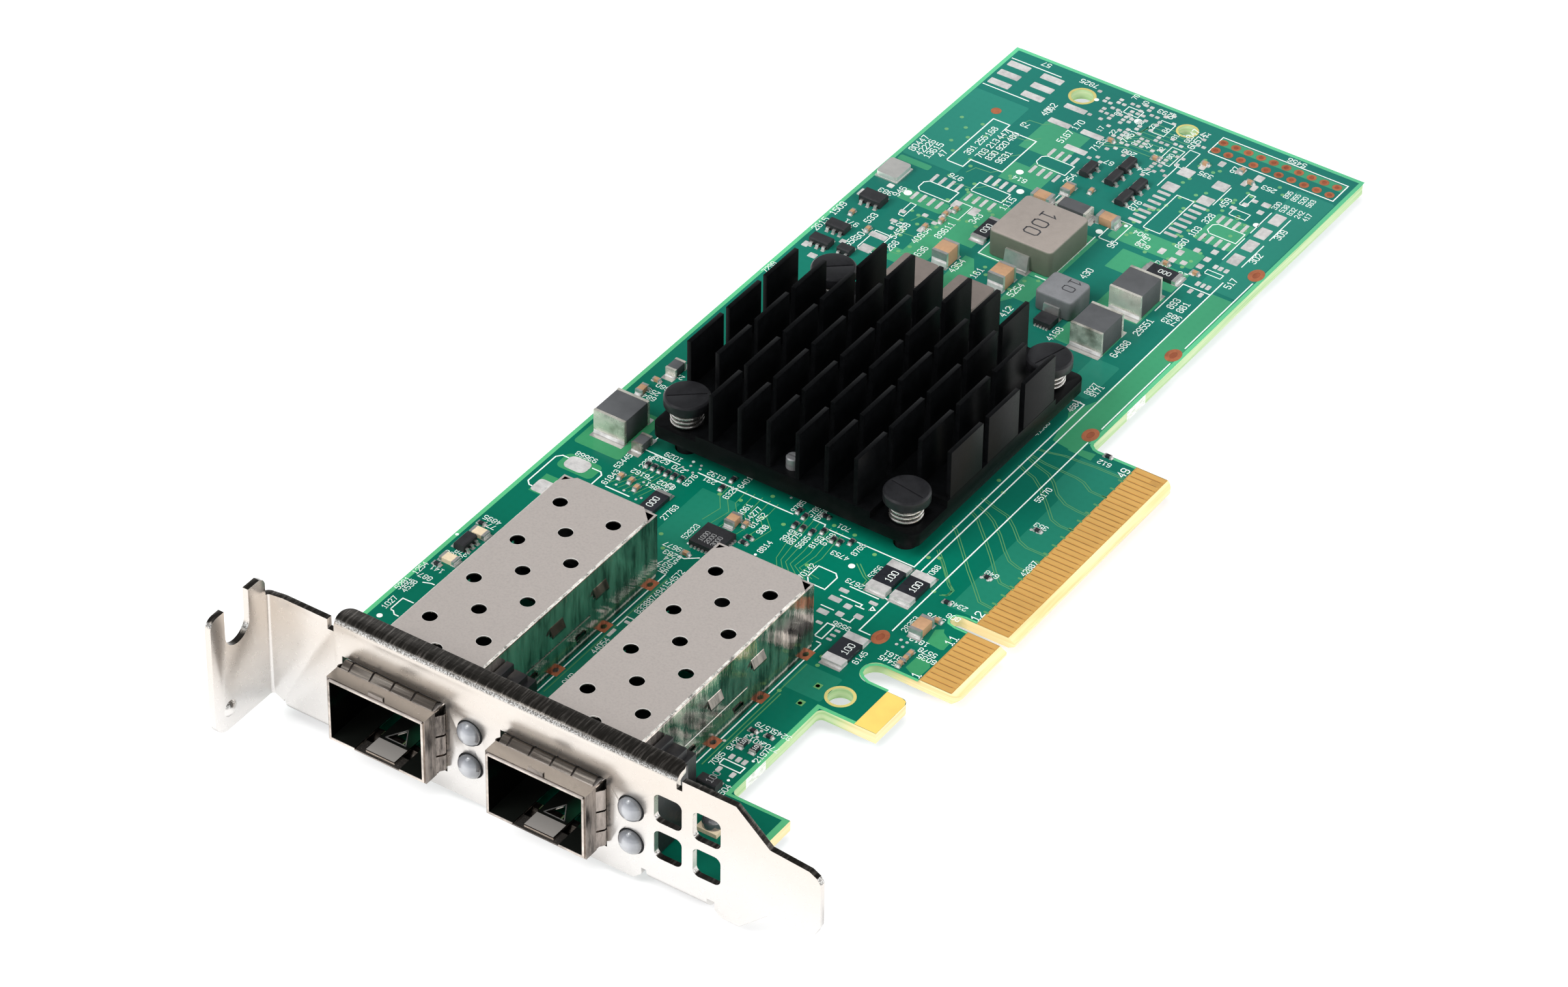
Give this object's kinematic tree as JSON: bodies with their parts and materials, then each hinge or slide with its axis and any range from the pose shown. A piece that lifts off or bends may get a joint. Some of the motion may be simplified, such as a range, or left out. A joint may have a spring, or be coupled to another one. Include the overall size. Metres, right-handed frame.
{
  "type": "network interface card",
  "caption": "Low-profile expansion card with two metal port cages, a finned heatsink, an edge connector and a bent mounting plate",
  "frame": {"origin": "centre of the bounding box in X and Y, at its lowest point in Z, which is the tips of the heatsink push-pins under the board", "axes": "+Z out of the component side of the board, +Y along the board away from the mounting plate, +X across the board toward the edge contacts"},
  "size_m": [0.0812, 0.1804, 0.022],
  "materials": {
    "pcb": "satin",
    "gold": "polished",
    "plate": "satin",
    "cage": "satin",
    "gasket": "polished",
    "black_plastic": "matte",
    "clear_plastic": "polished",
    "anodised": "satin",
    "stud": "polished",
    "spring_steel": "polished",
    "silicon_cap": "satin",
    "pad": "matte",
    "inductor_brown": "matte",
    "inductor_grey": "matte",
    "tin": "satin",
    "ferrite": "matte",
    "resistor_black": "gloss",
    "capacitor_tan": "satin",
    "epoxy_black": "matte",
    "can": "satin",
    "lamp": "satin"
  },
  "bodies": {
    "root": {"back_contacts": "gold", "bracket": "plate", "brown_inductors": "inductor_brown", "cage_1": "cage", "cage_2": "cage", "capacitor_ends": "tin", "ceramic_capacitors": "capacitor_tan", "chip_capacitors": "capacitor_tan", "chip_resistors": "resistor_black", "circuit_board": "pcb", "controller_chip": "silicon_cap", "ferrite_blocks": "ferrite", "ferrite_ends": "tin", "front_contacts": "gold", "gasket_1": "gasket", "gasket_2": "gasket", "grey_inductor": "inductor_grey", "guide_holder_1": "black_plastic", "guide_holder_2": "black_plastic", "heatsink": "anodised", "ic_bodies": "epoxy_black", "ic_leads": "tin", "inductor_terminals": "tin", "lamp_bodies": "lamp", "lamp_ends": "tin", "lamp_lens": "clear_plastic", "light_guides": "clear_plastic", "link_ends": "tin", "link_resistors": "resistor_black", "pin_springs": "spring_steel", "power_inductor": "inductor_brown", "push_pins": "black_plastic", "receptacle_1": "black_plastic", "receptacle_2": "black_plastic", "receptacle_contacts": "gold", "resistor_ends": "tin", "resonator_can": "can", "sense_ends": "tin", "sense_resistors": "resistor_black", "sink_stud": "stud", "thermal_pad": "pad"}
  },
  "joints": []
}
